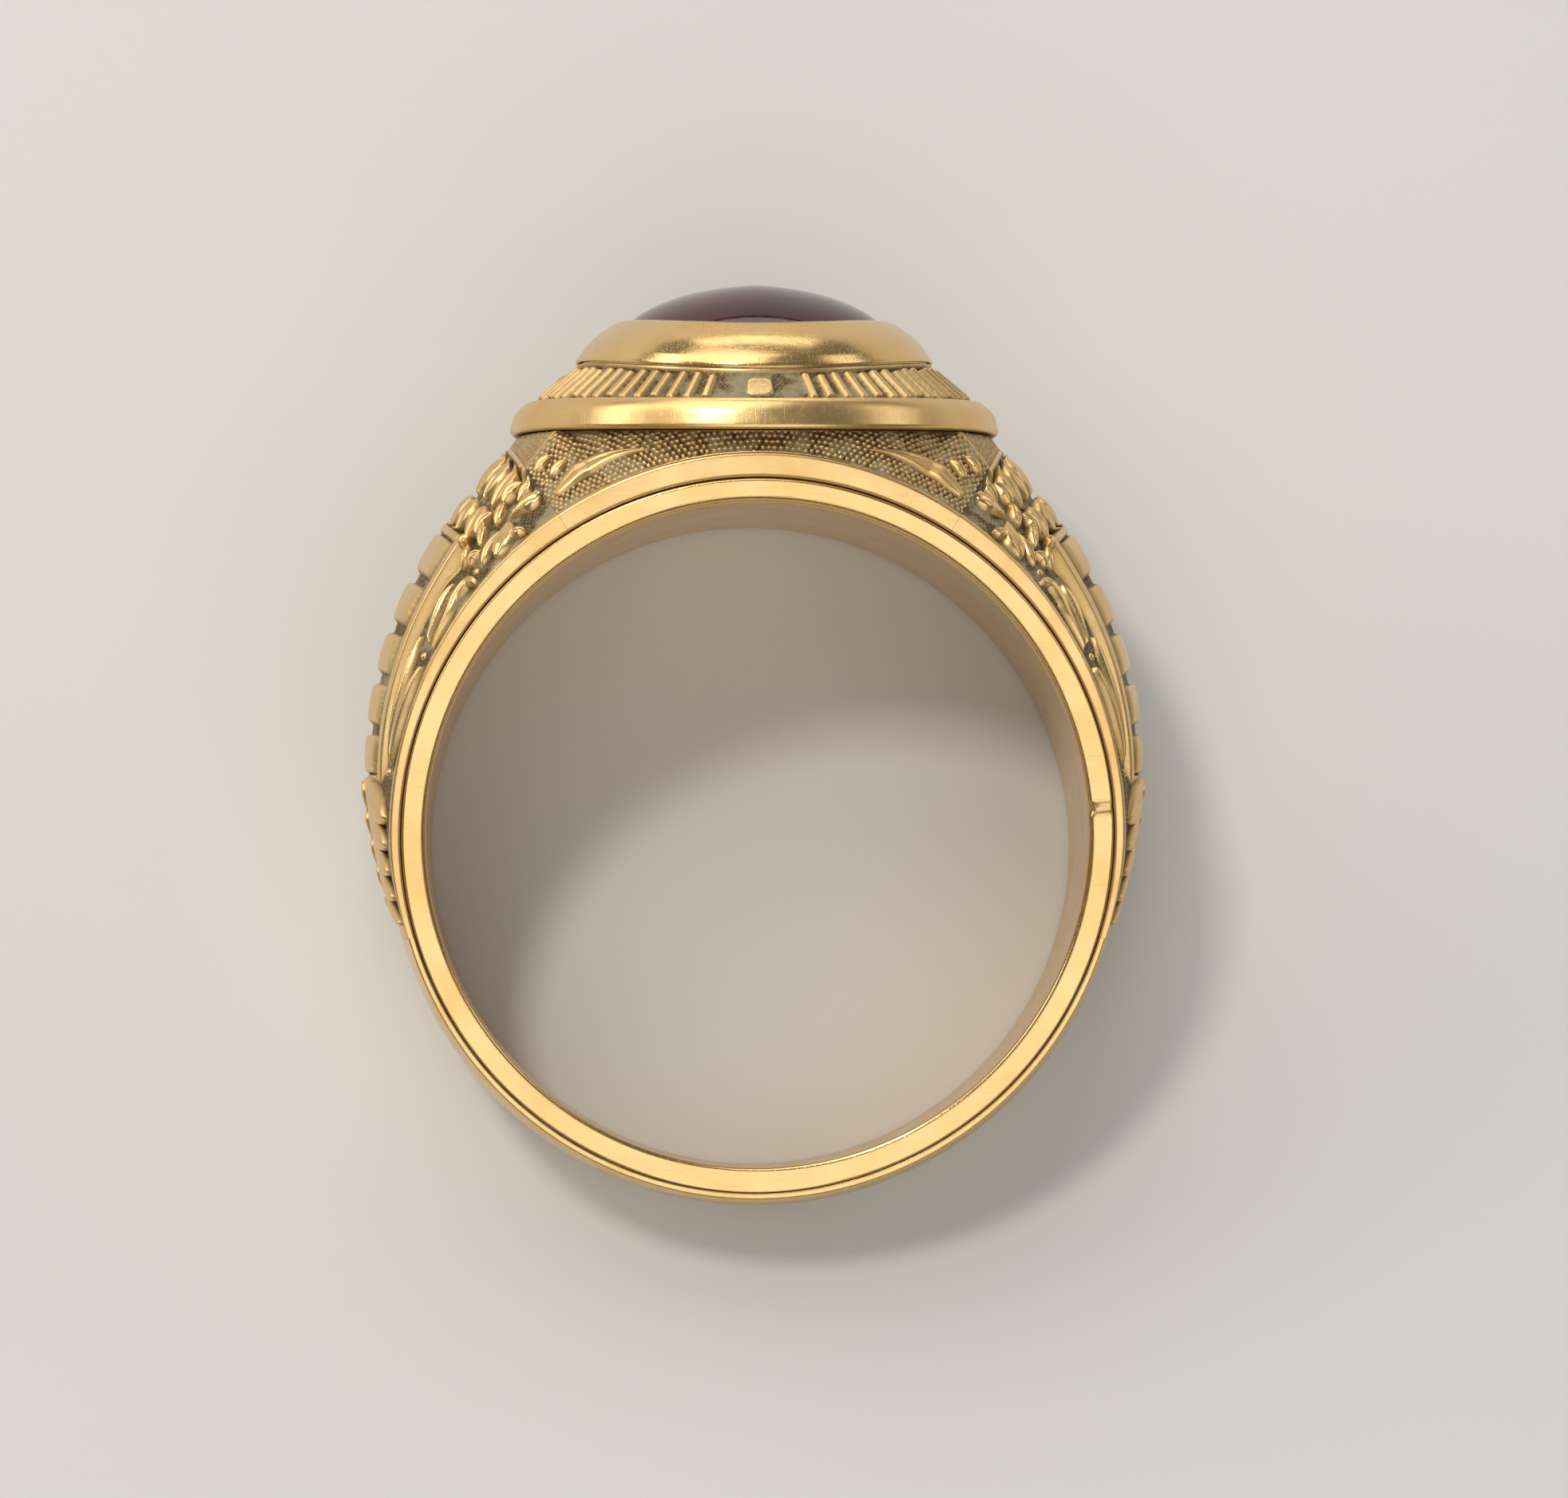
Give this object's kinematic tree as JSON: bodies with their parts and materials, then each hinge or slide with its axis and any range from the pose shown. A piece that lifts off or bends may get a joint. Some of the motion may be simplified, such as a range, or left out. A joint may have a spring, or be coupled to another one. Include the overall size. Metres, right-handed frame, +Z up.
{
  "type": "signet ring",
  "caption": "Heavy oval-topped signet ring with a low domed stone, a reeded sloping bezel, leaf sprays on swelling shoulders and a plain tapering shank.",
  "frame": {"origin": "centre of the bounding box's base, on the plane that the ring's lower side face rests on", "axes": "+Z up from the surface the ring lies on; +Y towards the stone end, across the surface; +X across the finger hole. The finger axis leans 13.3 degrees from +Z towards -Y, because the side faces taper."},
  "size_m": [0.0218, 0.0256, 0.0136],
  "materials": {
    "polished_gold": "polished yellow gold",
    "worn_gold": "worn, softly polished yellow gold",
    "antiqued_gold": "yellow gold with dark antiquing in its recesses",
    "foil": "bright foil",
    "garnet": "polished dark red stone, nearly opaque"
  },
  "bodies": {
    "root": {"finger_liner": "polished_gold", "shank_base": "worn_gold", "shoulder_left": "antiqued_gold", "shoulder_right": "antiqued_gold", "head_gallery": "antiqued_gold", "bezel_frame": "worn_gold", "bezel_collar": "polished_gold", "stone_seat": "worn_gold", "stone_backing": "foil", "stone": "garnet", "leaf_spray_left_front": "worn_gold", "leaf_spray_left_back": "worn_gold", "leaf_spray_right_front": "worn_gold", "leaf_spray_right_back": "worn_gold"}
  },
  "joints": []
}
